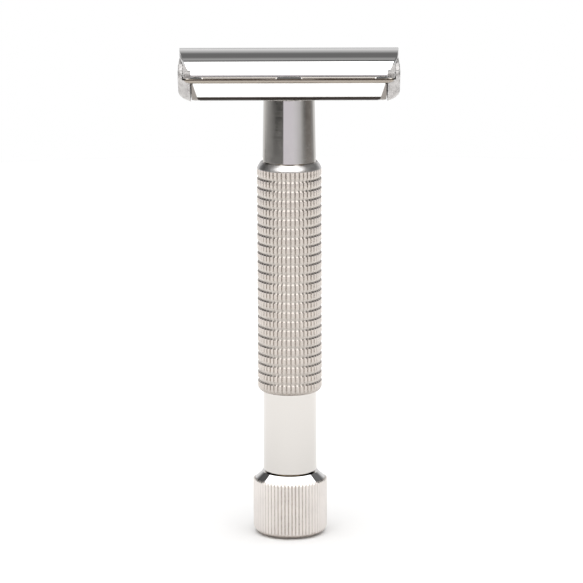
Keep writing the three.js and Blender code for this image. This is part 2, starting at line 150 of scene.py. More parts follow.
# What stands round the table just below and above its level, by azimuth in degrees from the front,
# positive towards +X.
AROUND = [
    (-180, 0.74),
    (-147, 0.68),
    (-123, 0.50),
    (-107, 0.36),
    (-93, 0.27),
    (-81, 0.18),
    (-70, 0.10),
    (-59, 0.032),
    (-49, 0.012),
    (-31, 0.012),
    (-26.5, 0.02),
    (-24.5, (0.745, 0.725, 0.80)),
    (18, (0.745, 0.73, 0.80)),
    (32, (0.69, 0.69, 0.73)),
    (50, (0.57, 0.57, 0.60)),
    (60, 0.38),
    (71, 0.17),
    (82, (0.14, 0.13, 0.125)),
    (108, (0.19, 0.175, 0.165)),
    (125, 0.31),
    (150, 0.72),
    (180, 0.74),
]
# The same, lower down, where the far parts of the table begin to show.
TABLE_EDGE = [
    (-180, 0.27),
    (-150, 0.22),
    (-60, 0.19),
    (-26.5, 0.21),
    (-24.5, (0.745, 0.725, 0.80)),
    (18, (0.745, 0.73, 0.80)),
    (32, (0.67, 0.67, 0.71)),
    (50, (0.50, 0.50, 0.52)),
    (66, 0.28),
    (85, (0.22, 0.205, 0.195)),
    (150, 0.25),
    (180, 0.27),
]
# The room above that, outside the softbox.
ROOM = [
    (-180, 0.15),
    (-150, 0.10),
    (-120, 0.012),
    (-104, 0.015),
    (-92, 0.12),
    (-66, 0.25),
    (-45, (0.15, 0.12, 0.095)),
    (50, (0.17, 0.135, 0.105)),
    (80, 0.11),
    (120, 0.12),
    (180, 0.15),
]
# The wall behind, by the sine of the elevation.
WALL = [
    (0.0, 0.74),
    (0.213, 0.70),
    (0.41, 0.52),
    (0.515, 0.33),
    (0.56, 0.19),
    (0.61, 0.145),
    (0.74, 0.15),
    (0.80, 0.35),
    (0.825, 0.32),
    (0.842, 0.09),
    (1.0, 0.08),
]
# Where these meet, by the sine of the elevation: from the first value to the second.
HORIZON = 0.02
ROOM_RISE = (HORIZON, 0.10)
EDGE_SINK = (-0.1155, -0.1225)
EDGE_DIP = 0.0148  # the table's edge sinks by this much for each radian of azimuth
TABLE_SINK = (-0.162, -0.172)
HAZE_RISE = (-0.112, -0.09)
TABLE = 0.78
HAZE = (0.46, 0.44, 0.42)  # nothing just below level is darker than this
FAR_BACK = 0.72


def by_azimuth(stops):
    return [((azimuth + 180) / 360, colour) for azimuth, colour in stops]


def light_room():
    """Lights the scene by direction. The camera itself sees plain white behind the razor."""
    world = bpy.data.worlds.new("studio")
    scene.world = world
    world.use_nodes = True
    g = Graph(world.node_tree)
    direction = g.node("TexCoord").outputs["Generated"]
    x, y, z = g.axes(direction)
    up = g.math("MAXIMUM", z, HORIZON)
    across, along = g.math("DIVIDE", x, up), g.math("DIVIDE", y, up)
    softbox = g.product(
        g.step(across, -SOFTBOX_SIDE - SOFTBOX_FADE, -SOFTBOX_SIDE + SOFTBOX_FADE),
        g.step(across, SOFTBOX_SIDE + SOFTBOX_FADE, SOFTBOX_SIDE - SOFTBOX_FADE),
        g.step(along, SOFTBOX_FRONT - SOFTBOX_FADE, SOFTBOX_FRONT + SOFTBOX_FADE),
        g.step(along, SOFTBOX_BACK + SOFTBOX_FADE, SOFTBOX_BACK - SOFTBOX_FADE),
        g.step(z, HORIZON, 0.06),
    )
    turn = g.math("ARCTAN2", x, g.math("MULTIPLY", y, -1.0))
    azimuth = g.math("MULTIPLY_ADD", turn, 1 / (2 * math.pi))
    azimuth.node.inputs[2].default_value = 0.5
    around = g.ramp(azimuth, by_azimuth(AROUND))
    room = g.ramp(azimuth, by_azimuth(ROOM))
    wall = g.ramp(z, WALL)
    behind = g.step(y, 0.05, 0.45)
    side = g.step(g.math("ABSOLUTE", across), 1.3, 0.6)
    high = g.mix(g.product(behind, side), room, wall)
    dipping = g.plus(z, g.math("ABSOLUTE", turn), EDGE_DIP)
    around = g.mix(g.step(dipping, *EDGE_SINK), around, g.ramp(azimuth, by_azimuth(TABLE_EDGE)))
    around = g.mix(g.step(z, *TABLE_SINK), around, rgba(TABLE))
    haze = {0: g.step(z, *HAZE_RISE), 6: around, 7: rgba(HAZE)}
    around = g.node("Mix", haze, data_type="RGBA", blend_type="LIGHTEN").outputs[2]
    rest = g.mix(g.step(z, *ROOM_RISE), around, high)
    far_back = g.product(g.step(y, 0.6, 0.85), g.step(z, 0.45, 0.15))
    rest = g.mix(far_back, rest, rgba(FAR_BACK))
    light = g.mix(softbox, rest, rgba(SOFTBOX_GLOW))
    lit = g.node("Background", {"Color": light, "Strength": 1.0})
    seen = g.node("Background", {"Color": rgba(1.0), "Strength": 1.0})
    straight = g.node("LightPath").outputs["Is Camera Ray"]
    both = g.node("MixShader", {0: straight, 1: lit.outputs[0], 2: seen.outputs[0]})
    g.node("OutputWorld", {"Surface": both.outputs[0]})


light_room()

# In metres. The floor lies just clear of the knob and glows a little, though it is no lamp: painted light,
# more so away from the razor, so the floor round the razor is painted darker.
FLOOR_RADIUS = 0.45
FLOOR_DROP = 0.00002
FLOOR_SIDES = 128
GLOW_NEAR, GLOW_FAR = 0.005, 0.13
GLOW_LEAST, GLOW_MOST = 0.055, 0.25


def full_turn(steps):
    return np.linspace(0, 2 * math.pi, steps + 1)[:-1]


floor_mesh = bpy.data.meshes.new("floor")
floor_points = [
    (FLOOR_RADIUS * math.cos(a), FLOOR_RADIUS * math.sin(a), -FLOOR_DROP)
    for a in full_turn(FLOOR_SIDES)
]
floor_mesh.from_pydata(floor_points, [], [tuple(range(FLOOR_SIDES))])
floor = bpy.data.objects.new("floor", floor_mesh)
scene.collection.objects.link(floor)


def floor_finish():
    material = bpy.data.materials.new("white_table")
    material.use_nodes = True
    g = Graph(material.node_tree)
    place = g.node("TexCoord").outputs["Object"]
    grain = g.noise(place, 300.0)
    colour = g.mix(grain, rgba(0.93), rgba(0.95))
    shader = g.node("BsdfPrincipled", {"Base Color": colour, "Roughness": 1.0, "Specular IOR Level": 0.0})
    shader.inputs["Emission Color"].default_value = rgba((1.0, 0.99, 0.98))
    distance = g.node("VectorMath", {0: place}, operation="LENGTH").outputs["Value"]
    # Painted light: the glow is weakest near the razor, a painted shade round its foot.
    glow = g.step(distance, GLOW_NEAR, GLOW_FAR, GLOW_LEAST, GLOW_MOST)
    g.tree.links.new(glow, shader.inputs["Emission Strength"])
    g.node("OutputMaterial", {"Surface": shader.outputs[0]})
    return material


floor_mesh.materials.append(floor_finish())


# ---------- metals ----------

ROUND_Z = (0.02, 0.02, 1.0)  # marks that run round the handle
ALONG_X = (0.02, 1.0, 1.0)  # marks that run along the blade
CLOUDS, SMUDGES = 260.0, 900.0  # how many to a metre


def metal(
    name, colour, roughness, marks=(1, 1, 1), mark_scale=4000.0, mark_depth=0.0, stain=0.05, shade=None
):
    """A metal with cloudy tone, smudged roughness and fine tool marks, their depth in millimetres.

    shade(graph, place, colour, roughness) may tint or dull part of it."""
    material = bpy.data.materials.new(name)
    material.use_nodes = True
    g = Graph(material.node_tree)
    place = g.node("TexCoord").outputs["Object"]
    cloud = g.noise(place, CLOUDS, 4.0)
    smudge = g.noise(place, SMUDGES, 6.0)
    lines = g.noise(place, mark_scale, 3.0, marks)
    dim = tuple(c * (1 - stain) for c in colour)
    bright = tuple(min(1.0, c * (1 + stain * 0.6)) for c in colour)
    tone = g.mix(g.step(cloud, 0.3, 0.7), rgba(dim), rgba(bright))
    spread = g.math("ADD", g.math("MULTIPLY", smudge, 0.6), g.math("MULTIPLY", lines, 0.4))
    rough = g.step(spread, 0.25, 0.75, roughness * 0.7, roughness * 1.35)
    if shade:
        tone, rough = shade(g, place, tone, rough)
    shader = g.node("BsdfPrincipled", {"Base Color": tone, "Roughness": rough, "Metallic": 1.0})
    if mark_depth:
        bump = g.node("Bump", {"Strength": 0.5, "Distance": mark_depth * MM, "Height": lines})
        g.tree.links.new(bump.outputs[0], shader.inputs["Normal"])
    g.node("OutputMaterial", {"Surface": shader.outputs[0]})
    return material


CHROME = (0.93, 0.92, 0.915)
# Sizes that finishes and shapes share, in millimetres. A door's half length is DOOR_HALF at its seam,
# less DOOR_TAPER times the square of the distance out. The tray's is given by level.
DOOR_HALF, DOOR_TAPER = 22.2, 0.0212
TRAY_LEVELS, TRAY_REACH = (92, 92.75, 96.1, 98), (17.6, 18.3, 19.27, 19.4)
TRAY_LEAN = 0.2896  # how fast it grows from the second level to the third
GROOVE_PITCH = 1.927


def radial_distance(g, place):
    """How far a point is from the handle's axis."""
    flat = g.node("VectorMath", {0: place, 1: (1, 1, 0)}, operation="MULTIPLY").outputs[0]
    return g.node("VectorMath", {0: flat}, operation="LENGTH").outputs["Value"]


def grooves(valley, crest, low, high, colour, polish, rings=None):
    """Painted shade: darker in a pattern cut between two radii, and on the rounded edge below the level
    low. Above the level high all is polished. rings is (one groove's level, their pitch, their colour), and
    paints the ring grooves lighter: painted light."""
    def shade(g, place, tone, rough):
        z = g.axes(place)[2]
        cut = g.step(z, (high + 0.05) * MM, (high - 0.05) * MM)
        # Painted shade: darker between the radii crest and valley, in the cuts, and below the level low.
        valley_shade = g.step(radial_distance(g, place), crest * MM, valley * MM)
        valley_shade = g.math("MAXIMUM", g.product(cut, valley_shade), g.step(z, low * MM, (low - 0.5) * MM))
        dull = g.plus(rough, valley_shade, 0.15)
        tone = g.mix(valley_shade, tone, rgba(colour))
        if rings:
            level, pitch, ring_light_colour = rings
            turns = g.math("MULTIPLY", g.math("SUBTRACT", z, level * MM), 1 / (pitch * MM))
            off = g.math("PINGPONG", turns, 0.5)
            above_collar = g.step(z, 30.8 * MM, 31.4 * MM)
            # Painted light: the ring grooves are painted lighter than the bricks.
            ring = g.product(cut, g.step(off, 0.24, 0.17), above_collar)
            tone = g.mix(ring, tone, rgba(ring_light_colour))
            dull = g.plus(dull, ring, 0.16)
        share = g.node("Mix", {0: cut, 2: polish, 3: dull}, data_type="FLOAT").outputs[0]
        return g.mix(cut, rgba(CHROME), tone), share
    return shade


def tray_shade_and_dulling(heel_top, bar_bottom):
    """The rounded underside is painted near-black: painted shade under the head. The two bars are painted
    darker and duller, partly a duller finish, partly painted shade. The end walls, which stand beyond the
    tray's slanted ends, are duller."""
    def shade(g, place, tone, rough):
        x, _, z = g.axes(place)
        low = g.step(z, (heel_top + 0.06) * MM, (heel_top - 0.06) * MM)
        bar = g.step(z, (bar_bottom - 0.04) * MM, (bar_bottom + 0.04) * MM)
        bar = g.product(bar, g.step(z, (bar_bottom + 1.05) * MM, (bar_bottom + 0.98) * MM))
        # Painted shade: the rounded underside is painted near-black.
        tone = g.mix(low, tone, rgba((0.04, 0.032, 0.028)))
        # The bars are painted darker: partly a duller finish, partly painted shade.
        tone = g.mix(bar, tone, rgba((0.36, 0.32, 0.275)))
        rise = g.math("SUBTRACT", z, TRAY_LEVELS[1] * MM)
        reach = g.math("ADD", g.math("MULTIPLY", rise, TRAY_LEAN), TRAY_REACH[1] * MM)
        wall = g.step(g.math("SUBTRACT", g.math("ABSOLUTE", x), reach), 0.02 * MM, 0.06 * MM)
        below_bar = g.step(z, TRAY_LEVELS[2] * MM, (TRAY_LEVELS[2] - 0.1) * MM)
        tone = g.mix(g.product(wall, below_bar), tone, rgba((0.30, 0.275, 0.255)))
        return tone, g.plus(rough, g.math("ADD", low, bar), 0.08)
    return shade


def door_ends(g, place, tone, rough):
    """Beyond the slanted ends of a door's sheet, its ears and flanges are duller."""
    x, y, _ = g.axes(place)
    line = g.math("ADD", g.math("ABSOLUTE", x), g.product(y, y, DOOR_TAPER / MM))
    beyond = g.step(line, (DOOR_HALF + 0.01) * MM, (DOOR_HALF + 0.05) * MM)
    return g.mix(beyond, tone, rgba((0.53, 0.515, 0.505))), g.plus(rough, beyond, 0.65)


def barrel_painted_shade(g, place, tone, rough):
    """The barrel below the grip is painted a little darker than the neck, the same metal: painted shade."""
    barrel = g.step(g.axes(place)[2], 34 * MM, 30 * MM)
    return g.mix(barrel, tone, rgba((0.635, 0.612, 0.585))), rough


def ground_edge(start, end):
    """The blade's two ground edges are painted a darker grey, painted shade, and are duller."""
    def shade(g, place, tone, rough):
        edge = g.step(g.math("ABSOLUTE", g.axes(place)[1]), start * MM, end * MM)
        return g.mix(edge, tone, rgba((0.37, 0.345, 0.32))), g.plus(rough, edge, 0.1)
    return shade


finishes = {
    "polished": metal("polished_plate", CHROME, 0.035, stain=0.015),
    "door": metal("polished_door_plate", CHROME, 0.03, stain=0.012, shade=door_ends),
    "cap": metal("satin_cap_plate", (0.60, 0.585, 0.575), 0.6, stain=0.02),
    "tray": metal(
        "polished_tray_plate", CHROME, 0.035, stain=0.012, shade=tray_shade_and_dulling(heel_top=93.1, bar_bottom=96.15),
    ),
    "satin": metal(
        "satin_plate", (0.735, 0.705, 0.67), 0.08, marks=ROUND_Z, mark_scale=5200.0, mark_depth=0.002,
        stain=0.02, shade=barrel_painted_shade,
    ),
    # The grip's and the knob's darker valleys are painted shade; the grip's lighter ring grooves are
    # painted light.
    "grip": metal("knurled_plate", (0.545, 0.50, 0.462), 0.12, shade=grooves(
        valley=6.37, crest=6.5, low=31.3, high=77.0, colour=(0.46, 0.415, 0.375), polish=0.34,
        rings=(75.35, GROOVE_PITCH, (0.56, 0.52, 0.48)),
    )),
    "knob": metal("fluted_plate", (0.76, 0.72, 0.69), 0.12, shade=grooves(
        valley=7.36, crest=7.5, low=0.6, high=11.81, colour=(0.60, 0.55, 0.51), polish=0.04,
    )),
    "steel": metal(
        "turned_steel", (0.60, 0.60, 0.60), 0.25, marks=ROUND_Z, mark_scale=3800.0, mark_depth=0.004,
    ),
    "pin": metal(
        "drawn_steel", (0.62, 0.62, 0.62), 0.22, marks=ALONG_X, mark_scale=5000.0, mark_depth=0.003,
    ),
    "blade": metal(
        "blade_steel", (0.70, 0.71, 0.72), 0.14, marks=ALONG_X, mark_scale=5200.0, mark_depth=0.002,
        shade=ground_edge(start=10.17, end=10.2),
    ),
    "brass": metal(
        "turned_brass", (0.72, 0.56, 0.30), 0.24, marks=ROUND_Z, mark_scale=3600.0, mark_depth=0.004,
        stain=0.08,
    ),
}


# ---------- outlines ----------

def arc(cx, cy, radius, start, end, steps):
    """Points of a circle, angles in degrees."""
    angles = np.radians(np.linspace(start, end, steps + 1))
    return [(cx + radius * math.cos(a), cy + radius * math.sin(a)) for a in angles]


def crown(radius, centre, start, end, steps):
    """Points of a circle about the middle plane, between two distances out."""
    outs = np.linspace(start, end, steps + 1)
    return [(out, centre + math.sqrt(radius * radius - out * out)) for out in outs]


def circle(cx, cy, radius, sides):
    """All the corners of a circle, once each."""
    return arc(cx, cy, radius, 0, 360 - 360 / sides, sides - 1)


def rectangle(left, low, right, high):
    return [(left, low), (right, low), (right, high), (left, high)]


def eased(outline, size, steps=3, least=20):
    """A closed outline with its corners rounded, but not those on the axis or under least degrees."""
    result = []
    count = len(outline)
    for i, corner in enumerate(outline):
        here = np.array(corner, float)
        back = np.array(outline[i - 1], float) - here
        ahead = np.array(outline[(i + 1) % count], float) - here
        back_length, ahead_length = np.linalg.norm(back), np.linalg.norm(ahead)
        if back_length < 1e-9 or ahead_length < 1e-9:
            continue
        bend = 180 - math.degrees(math.acos(np.clip(back @ ahead / back_length / ahead_length, -1, 1)))
        if abs(here[0]) < 1e-9 or bend < least:
            result.append(tuple(here))
            continue
        cut = min(size, 0.4 * back_length, 0.4 * ahead_length)
        first, last = here + back / back_length * cut, here + ahead / ahead_length * cut
        for t in np.linspace(0, 1, steps + 1):
            point = (1 - t) ** 2 * first + 2 * t * (1 - t) * here + t * t * last
            result.append(tuple(point))
    return result


# ---------- solids ----------

SMOOTH = 32  # degrees: edges that bend more stay sharp
MERGE = 1e-7  # metres between points that become one
BEVEL_ANGLE = 38  # degrees: edges that bend more are rounded


def mesh_object(name, points, faces, smooth=SMOOTH):
    """An object from points in millimetres, with its faces turned outwards."""
    mesh = bpy.data.meshes.new(name)
    mesh.from_pydata([tuple(float(c) * MM for c in p) for p in points], [], faces)
    tidy(mesh, smooth)
    made = bpy.data.objects.new(name, mesh)
    scene.collection.objects.link(made)
    return made


def tidy(mesh, smooth=SMOOTH):
    """Merges a mesh's stray points, turns its faces outwards and keeps edges over smooth degrees sharp."""
    work = bmesh.new()
    work.from_mesh(mesh)
    bmesh.ops.remove_doubles(work, verts=work.verts, dist=MERGE)
    bmesh.ops.recalc_face_normals(work, faces=work.faces)
    work.to_mesh(mesh)
    work.free()
    mesh.shade_smooth()
    mesh.set_sharp_from_angle(angle=math.radians(smooth))


def loft(rows, closed_rows=True):
    """Faces between rows of points, each row a ring. A row of one point closes to a tip."""
    points, rings = [], []
    for row in rows:
        rings.append(list(range(len(points), len(points) + len(row))))
        points += row
    faces = []
    pairs = zip(rings, rings[1:] + rings[:1]) if closed_rows else zip(rings, rings[1:])
    count = max(len(ring) for ring in rings)
    for a, b in pairs:
        a, b = (ring * count if len(ring) == 1 else ring for ring in (a, b))
        for k in range(count):
            m = (k + 1) % count
            face = list(dict.fromkeys((a[k], a[m], b[m], b[k])))
            if len(face) > 2:
                faces.append(face)
    return points, faces


def ring_row(radii, heights, angles):
    """Points round the handle's axis."""
    return [(r * math.cos(a), r * math.sin(a), z) for r, z, a in zip(radii, heights, angles)]


def revolved(name, outline, steps=128):
    """A closed outline of (radius, z), turned about the handle's axis."""
    angles = full_turn(steps)
    rows = [
        [(0.0, 0.0, z)] if r < 1e-6 else ring_row([r] * steps, [z] * steps, angles)
        for r, z in outline
    ]
    return even_shading(mesh_object(name, *loft(rows)))


def even_shading(obj):
    """Lets wide faces decide the shading of the narrow ones that round their edges."""
    weigh = obj.modifiers.new("shading", "WEIGHTED_NORMAL")
    weigh.keep_sharp = True
    return obj


def capped_loft(name, rows):
    """A loft whose first and last rows are closed by flat faces."""
    points, faces = loft(rows, closed_rows=False)
    count, total = len(rows[0]), len(points)
    faces += [tuple(range(count)), tuple(range(total - 1, total - 1 - count, -1))]
    return mesh_object(name, points, faces)


def swept(name, outline, reach):
    """An outline of (y, z) drawn along X, where reach(y, z) is its half length."""
    return capped_loft(name, [[(side * reach(y, z), y, z) for y, z in outline] for side in (-1, 1)])


def prism(name, outline, axis, start, end):
    """An outline drawn along X, Y or Z. Its points are the two other coordinates, in order."""
    def place(a, b, depth):
        point = [a, b]
        point.insert("XYZ".index(axis), depth)
        return tuple(point)

    return capped_loft(name, [[place(a, b, depth) for a, b in outline] for depth in (start, end)])


def inset(outline, distance):
    """An outline moved inwards, point by point."""
    points = np.array(outline, float)
    along = np.roll(points, -1, 0) - np.roll(points, 1, 0)
    along /= np.linalg.norm(along, axis=1)[:, None]
    x, y = points.T
    area = np.sum(x * np.roll(y, -1) - y * np.roll(x, -1))
    inwards = np.column_stack((-along[:, 1], along[:, 0])) * (1 if area > 0 else -1)
    return [tuple(p) for p in points + inwards * distance]


def combine(base, others, operation, smooth=SMOOTH):
    """Joins others to base or cuts them out of it, and removes them."""
    for other in others:
        step = base.modifiers.new("combine", "BOOLEAN")
        step.operation = operation
        step.solver = "EXACT"
        step.object = other
        settle(base, smooth)
        mesh = other.data
        bpy.data.objects.remove(other)
        bpy.data.meshes.remove(mesh)
    return base


def settle(obj, smooth=SMOOTH):
    """Turns an object's modifiers into its mesh."""
    bpy.context.view_layer.update()
    graph = bpy.context.evaluated_depsgraph_get()
    mesh = bpy.data.meshes.new_from_object(obj.evaluated_get(graph))
    old = obj.data
    obj.modifiers.clear()
    obj.data = mesh
    bpy.data.meshes.remove(old)
    mesh.name = obj.name
    tidy(mesh, smooth)


def rounded_edges(obj, width, smooth=SMOOTH):
    """Rounds an object's sharper edges by a width in millimetres."""
    bevel = obj.modifiers.new("edges", "BEVEL")
    bevel.width = width * MM
    bevel.segments = 2
    bevel.limit_method = "ANGLE"
    bevel.angle_limit = math.radians(BEVEL_ANGLE)
    bevel.miter_outer = "MITER_ARC"
    settle(obj, smooth)
    return even_shading(obj)


def from_frame(name, node):
    """A new object with a CAD node's shape, its flat facets merged."""
    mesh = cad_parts[node].data.copy()
    mesh.materials.clear()
    mesh.name = name
    if mesh.has_custom_normals:
        mesh.attributes.remove(mesh.attributes["custom_normal"])
    work = bmesh.new()
    work.from_mesh(mesh)
    bmesh.ops.remove_doubles(work, verts=work.verts, dist=2 * MERGE)
    bmesh.ops.dissolve_limit(work, angle_limit=math.radians(0.6), verts=work.verts, edges=work.edges)
    work.to_mesh(mesh)
    work.free()
    tidy(mesh)
    made = bpy.data.objects.new(name, mesh)
    scene.collection.objects.link(made)
    return made


def finish_piece(obj, body, node, finish):
    """The piece rides on its body, stands for its CAD node, and takes its finish."""
    obj.data.materials.clear()
    obj.data.materials.append(finishes[finish])
    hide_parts(node)
    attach(obj, body)
    return obj


def half_turned(obj, name):
    """A copy on the opposite side of the head."""
    made = obj.copy()
    made.data = obj.data.copy()
    made.name = made.data.name = name
    made.data.transform(Matrix.Rotation(math.pi, 4, "Z"))
    scene.collection.objects.link(made)
    return made


# ---------- doors ----------

HINGE_OUT, HINGE_Z = 10.4, 97.6
DOOR_RADIUS, DOOR_CENTRE = 16.8, 84.7
DOOR_INNER, DOOR_LIP = 15.8, 10.2
DOOR_SEAM = 0.12
BLADE_BOW, BLADE_CENTRE = 32, 66.9
PIN_HOLE = 0.4


def door_reach(y, _):
    return DOOR_HALF - DOOR_TAPER * y * y


def pin_hole(out, start, end):
    """What is cut away for a hinge pin between two distances along X."""
    return prism("hole", circle(out, HINGE_Z, PIN_HOLE, 24), "X", start, end)


def door():
    """The rear door: its sheet, with a flange at each end of the seam and an ear round each hinge pin."""
    outline = [
        *crown(DOOR_INNER, DOOR_CENTRE, DOOR_SEAM, 8.8, 30),
        *crown(BLADE_BOW + 0.04, BLADE_CENTRE, 9.0, DOOR_LIP - 0.06, 4),
        (DOOR_LIP - 0.02, 97.29),
        (DOOR_LIP + 0.028, 97.34),
        (DOOR_LIP, 97.61),
        *crown(DOOR_RADIUS, DOOR_CENTRE, 9.6, DOOR_SEAM, 50),
    ]
    shell = swept("rear_door_sheet", outline, door_reach)
    flange_low = 99.75
    flange = [
        (DOOR_SEAM, flange_low),
        (4.9, flange_low),
        *crown(DOOR_INNER + 0.2, DOOR_CENTRE, 4.9, DOOR_SEAM, 12),
    ]
    ear = [
        (8.2, 98.35),
        *crown(DOOR_RADIUS - 0.01, DOOR_CENTRE, 8.2, 9.2, 3),
        *arc(HINGE_OUT, HINGE_Z, 0.8, 112, -112, 20),
    ]
    ear_top = [
        (8.25, 98.5),
        *crown(DOOR_RADIUS - 0.03, DOOR_CENTRE, 8.25, 9.18, 3),
        *arc(HINGE_OUT, HINGE_Z, 0.78, 112, 50, 6),
        (10.4, 97.95),
    ]
    flange_from, ear_from, ear_to = 21.0, 19.65, 21.15
    joined, cut = [], []
    for side in (-1, 1):
        rows = [
            [(side * flange_from, y, z) for y, z in flange],
            [(side * (door_reach(y, z) - 0.005), y, z) for y, z in flange],
        ]
        joined.append(capped_loft("flange", rows))
        joined.append(prism("ear", ear, "X", side * ear_from, side * ear_to))
        joined.append(prism("ear_top", ear_top, "X", side * (ear_from + 0.1), side * (ear_to + 0.14)))
        cut.append(pin_hole(HINGE_OUT, side * (ear_from + 0.1), side * (ear_to + 1)))
    combine(shell, joined, "UNION")
    combine(shell, cut, "DIFFERENCE")
    return rounded_edges(shell, 0.05, smooth=25)


rear_door = door()
front_door = half_turned(rear_door, "front_door_sheet")
finish_piece(rear_door, "rear_door_body", "rear_door", "door")
finish_piece(front_door, "front_door_body", "front_door", "door")

# ---------- guard tray ----------

TRAY_FLOOR = 93.25
BAR_OUT, BAR_Z, BAR_RADIUS = 11.85, 96.8, 0.65


def tray_reach(_, z):
    return float(np.interp(z, TRAY_LEVELS, TRAY_REACH))


def mirrored(points):
    """An outline's other half, so that the two together close it."""
    return [(-a, b) for a, b in reversed(points)]


def safety_bar():
    """A round bar with pointed ends. Its lands have a flat that leans forward, and between them the
    bar is cut level."""
    half, tip, tip_radius, tip_steps = 20.95, 1.9, 0.06, 9
    land = (72.0, 0.46)  # the direction of each flat, and its distance from the bar's middle
    level = (90.0, 0.30)
    angles = sorted({*np.linspace(-180, 165, 24), 27.0, 117.0, 27.5, 152.5})  # with both flats' edges
    stations = []
    for t in np.linspace(1, 0, tip_steps):
        radius = tip_radius + (BAR_RADIUS - tip_radius) * math.sqrt(1 - t * t)
        stations.append((-(half - tip + tip * t), radius, 0.0))
    scallop = [(-17.5, 0), (-17.1, 1), (-9, 1), (-2.7, 1), (-2.3, 0)]  # how much of the level cut, by x
    for x, share in scallop + [(-x, share) for x, share in reversed(scallop)]:
        stations.append((x, BAR_RADIUS, share))
    stations += [(-x, r, share) for x, r, share in reversed(stations[:tip_steps])]

    def clipped(angle, radius, flat):
        direction, distance = math.radians(flat[0]), flat[1]
        p = np.array([radius * math.cos(math.radians(angle)), radius * math.sin(math.radians(angle))])
        n = np.array([math.cos(direction), math.sin(direction)])
        over = p @ n - distance
        return p - n * over if over > 0 else p

    rows = []
    for x, radius, share in stations:
        row = []
        for angle in angles:
            p = (1 - share) * clipped(angle, radius, land) + share * clipped(angle, radius, level)
            row.append((x, BAR_OUT + p[0], BAR_Z + p[1]))
        rows.append(row)
    return capped_loft("bar", rows)


def guard_tray():
    """The trough under the blade, with its two bars, its end walls and the hole for the ferrule."""
    half = [
        *arc(8.3, 93.89, 1.74, -90, -27, 14),
        (11.42, 96.15),
        (11.7, 96.8),
        (11.25, 96.6),
        (10.75, 96.45),
        *crown(BLADE_BOW - 0.18, BLADE_CENTRE, 10.35, 9.2, 3),
        (9.0, 97.0),
        (8.5, 94.4),
        (7.6, TRAY_FLOOR),
    ]
    outline = [*half, *mirrored(half)]
    tray = swept("guard_tray_body", outline, tray_reach)
    wall = [
        (17.0, 91), (18.0, 92.12), (18.8, 92.2), (19.5, 92.42), (19.5, 95.9), (18.4, 95.9), (17.2, 93.5),
    ]
    walls = []
    for side in (-1, 1):
        piece = swept("wall", inset(outline, 0.05), lambda y, z: 19.7)
        ends = prism("ends", [(side * x, z) for x, z in wall], "Y", -12, 12)
        walls.append(combine(piece, [ends], "INTERSECT"))
    bar = safety_bar()
    combine(tray, walls + [half_turned(bar, "bar_behind"), bar], "UNION")
    combine(tray, [prism("hole", circle(0, 0, 4.0, 60), "Z", 90, 94)], "DIFFERENCE")
    return rounded_edges(tray, 0.05)


finish_piece(guard_tray(), "handle", "guard_tray", "tray")

# ---------- end caps, crossbar and blade ----------

HEAD_HALF = 22.25
PLATE_INNER, WRAP_INNER = 21.35, 19.75


def cap_wrap():
    """The cup round each end of the head, drawn as level slices that shrink towards its rounded bottom
    and close round the hinge at the top."""
    bend_x, bend_z, bend_a, bend_b = 18.95, 94.15, 3.3, 2.2  # the ellipse of its end
    heel_out, heel_z, heel = 8.0, 94.28, 2.3
    faces = [(93.724, 10.232), (96.35, 10.85), (97.0, 11.12), (97.6, 11.3)]  # (level, out) above the heel
    lug = 0.9  # the radius round the hinge
    rows = []
    levels = [*(92.03 + 1.97 * np.linspace(0, 1, 17) ** 1.6), *np.linspace(94.3, 97.6, 12)]
    levels += [HINGE_Z + lug * math.sin(turn) for turn in np.linspace(0, 1.25, 8)[1:]]
    for z in levels:
        depth = min(0.0, (z - bend_z) / bend_b)
        far = bend_x + bend_a * math.sqrt(1 - depth * depth)
        if z < faces[0][0]:
            out = heel_out + math.sqrt(heel * heel - (heel_z - z) ** 2)
        elif z < HINGE_Z:
            out = float(np.interp(z, *zip(*faces)))
        else:
            out = HINGE_OUT + math.sqrt(lug * lug - (z - HINGE_Z) ** 2)
        corner = float(np.interp(z, [94.5, 97.0], [2.4, 0.8]))
        width = min(corner, far - WRAP_INNER)
        half = [(WRAP_INNER, out)]
        for turn in np.linspace(0.5 * math.pi, 0, 13):
            half.append((far - width + width * math.cos(turn), out - corner + corner * math.sin(turn)))
        rows.append([(x, y, z) for x, y in half] + [(x, -y, z) for x, y in reversed(half)])
    wrap = capped_loft("right_end_cap_shell", rows)
    over = [(WRAP_INNER - 1, 95.6), (PLATE_INNER, 96.8), (PLATE_INNER, 99), (WRAP_INNER - 1, 99)]
    return combine(wrap, [prism("over", over, "Y", -12, 12)], "DIFFERENCE")


def end_cap():
    """The right cap: an upright plate with its wrap, its pocket, its slot and the pins' holes."""
    half = [
        (10.0, 96.9),
        (10.35, 97.9),
        *crown(DOOR_RADIUS - 0.1, DOOR_CENTRE, 9.2, 7.7, 2),
        *crown(DOOR_INNER - 0.35, DOOR_CENTRE, 6.2, 4.2, 2),
    ]
    outline = [*half, *mirrored(half)]
    ease = 0.3
    rows = [[(PLATE_INNER + 0.01, y, z) for y, z in outline]]
    for turn in np.linspace(0, 0.5 * math.pi, 6):
        x = HEAD_HALF - 0.01 - ease + ease * math.sin(turn)
        rows.append([(x, y, z) for y, z in inset(outline, ease * (1 - math.cos(turn)))])
    plate = capped_loft("plate", rows)
    cap = combine(cap_wrap(), [plate], "UNION")
    cut_from, cut_to = 21.0, 23.25  # through the plate
    cuts = [
        prism("pocket", rectangle(20.35, -7, 21.65, 7), "Z", 96.8, 105),
        prism("slot", rectangle(-1.72, 97.38, 1.72, 98.52), "X", cut_from, cut_to),
    ]
    for out in (HINGE_OUT, -HINGE_OUT):
        cuts.append(pin_hole(out, cut_from, cut_to))
    combine(cap, cuts, "DIFFERENCE")
    return rounded_edges(cap, 0.05)


